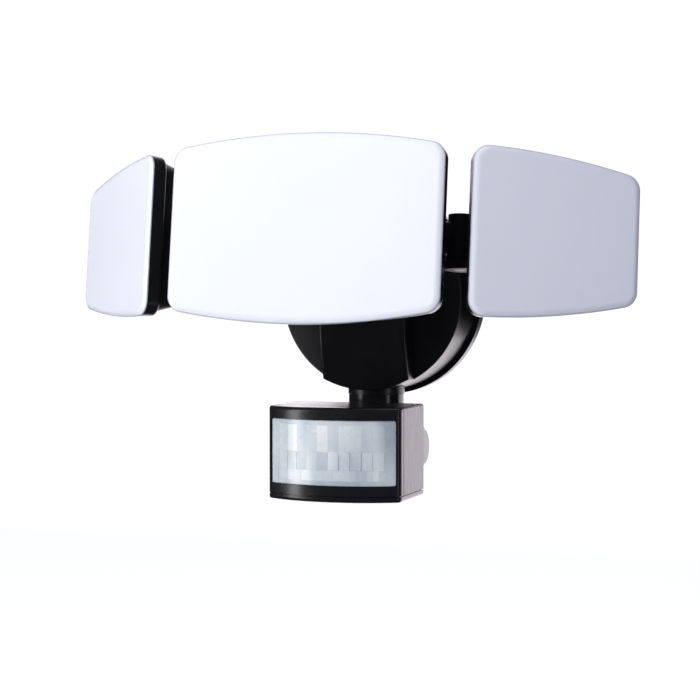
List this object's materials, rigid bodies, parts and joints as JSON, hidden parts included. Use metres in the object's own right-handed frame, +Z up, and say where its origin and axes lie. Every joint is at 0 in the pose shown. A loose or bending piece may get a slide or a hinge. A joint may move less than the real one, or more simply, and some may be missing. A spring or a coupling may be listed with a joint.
{
  "type": "motion sensor security light",
  "caption": "Wall-mounted outdoor security light: LED heads on a tilting cross beam with swinging side heads, above a motion sensor on a swivelling stem.",
  "frame": {"origin": "middle of the round canopy on the wall surface, at the centre of the wall bar's two box-screw slots", "axes": "+X along the wall to the viewer's right, +Y into the wall, +Z up"},
  "size_m": [0.3425, 0.1687, 0.2078],
  "materials": {
    "black_plastic": "fine satin grain",
    "gloss_black_plastic": "semi-gloss",
    "black_metal": "satin powder coat",
    "opal_lens": "opal, smooth",
    "milky_lens": "translucent, ribbed",
    "steel": "zinc plated",
    "rubber": "matte",
    "circuit_board": "white solder mask",
    "green_board": "green solder mask",
    "led_chip": "yellow phosphor",
    "driver_case": "plain",
    "nylon": "natural"
  },
  "bodies": {
    "base": {"wall_gasket": "rubber", "wall_bar": "steel", "back_plate": "black_plastic", "canopy_cover": "black_plastic", "cover_screws": "steel", "screw_plugs": "rubber", "led_driver": "driver_case", "terminal_block": "nylon", "tilt_bracket": "black_metal", "bracket_screws": "steel", "tilt_bolt": "steel", "tilt_nut": "steel", "tilt_washers": "steel"},
    "light_frame": {"cross_beam": "black_metal", "beam_screws": "steel", "pivot_washers": "steel", "centre_housing": "black_plastic", "centre_diffuser": "opal_lens", "centre_seal": "rubber", "centre_led_board": "circuit_board", "centre_leds": "led_chip", "centre_rear_cover": "black_metal", "centre_screws": "steel"},
    "right_head": {"right_housing": "black_plastic", "right_diffuser": "opal_lens", "right_seal": "rubber", "right_led_board": "circuit_board", "right_leds": "led_chip", "right_rear_cover": "black_metal", "right_screws": "steel", "right_pivot_bolt": "steel"},
    "left_head": {"left_housing": "black_plastic", "left_diffuser": "opal_lens", "left_seal": "rubber", "left_led_board": "circuit_board", "left_leds": "led_chip", "left_rear_cover": "black_metal", "left_screws": "steel", "left_pivot_bolt": "steel"},
    "stem": {"sensor_stem": "black_plastic", "stem_lock_ring": "nylon"},
    "sensor": {"sensor_front_frame": "gloss_black_plastic", "sensor_lens": "milky_lens", "sensor_rear_case": "gloss_black_plastic", "sensor_seal": "rubber", "sensor_bottom_cap": "black_plastic", "sensor_board": "green_board", "pyro_sensor": "steel", "control_board": "green_board", "case_screws": "steel", "sensor_hinge_bolt": "steel", "sensor_hinge_nut": "steel", "sensor_hinge_knob": "black_plastic"},
    "time_dial": {"time_dial": "black_plastic"},
    "light_dial": {"light_dial": "black_plastic"},
    "range_dial": {"range_dial": "black_plastic"}
  },
  "joints": [
    {"name": "heads_tilt", "type": "hinge", "parent": "base", "child": "light_frame", "pos_m": [0, -0.08, 0.012], "axis": [-1, 0, 0], "range_deg": [-25, 20]},
    {"name": "right_head_swing", "type": "hinge", "parent": "light_frame", "child": "right_head", "pos_m": [0.0777, -0.11986, 0.03262], "axis": [0, 0.1323, 0.9912], "range_deg": [-20, 50]},
    {"name": "left_head_swing", "type": "hinge", "parent": "light_frame", "child": "left_head", "pos_m": [-0.0777, -0.11986, 0.03262], "axis": [0, -0.1323, -0.9912], "range_deg": [-32, 38]},
    {"name": "sensor_swivel", "type": "hinge", "parent": "base", "child": "stem", "pos_m": [0, -0.0315, -0.0545], "axis": [0, 0, 1], "range_deg": [-60, 60]},
    {"name": "sensor_tilt", "type": "hinge", "parent": "stem", "child": "sensor", "pos_m": [0, -0.05, -0.09], "axis": [-1, 0, 0], "range_deg": [-30, 15]},
    {"name": "time_dial_turn", "type": "hinge", "parent": "sensor", "child": "time_dial", "pos_m": [-0.019, -0.088, -0.1148], "axis": [0, 0, -1], "range_deg": [-135, 135]},
    {"name": "light_dial_turn", "type": "hinge", "parent": "sensor", "child": "light_dial", "pos_m": [0, -0.088, -0.1148], "axis": [0, 0, -1], "range_deg": [-135, 135]},
    {"name": "range_dial_turn", "type": "hinge", "parent": "sensor", "child": "range_dial", "pos_m": [0.019, -0.088, -0.1148], "axis": [0, 0, -1], "range_deg": [-135, 135]}
  ]
}
